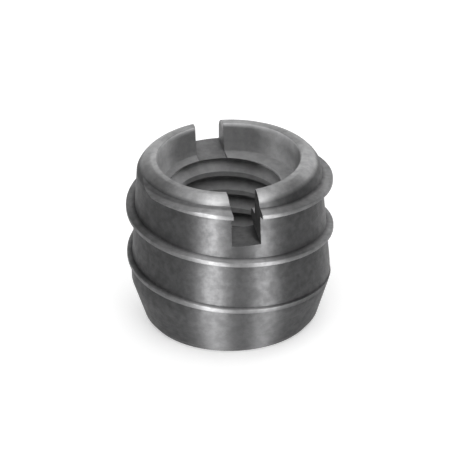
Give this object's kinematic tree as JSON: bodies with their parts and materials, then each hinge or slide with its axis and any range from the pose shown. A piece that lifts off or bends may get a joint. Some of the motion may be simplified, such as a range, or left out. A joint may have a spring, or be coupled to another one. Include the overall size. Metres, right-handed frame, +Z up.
{
  "type": "joint connector sleeve",
  "caption": "Short slotted screw-in sleeve with a coarse outer wood thread and a threaded bore that takes a joint connector bolt",
  "frame": {"origin": "centre of the lower end, on the bore's axis and in the plane of the foot", "axes": "+Z runs up the bore to the slotted end, the driver slot runs along Y and its deeper end faces -Y"},
  "size_m": [0.01, 0.01, 0.0085],
  "materials": {
    "sleeve_metal": "dull turned metal"
  },
  "bodies": {
    "root": {"connector_sleeve": "sleeve_metal"}
  },
  "joints": []
}
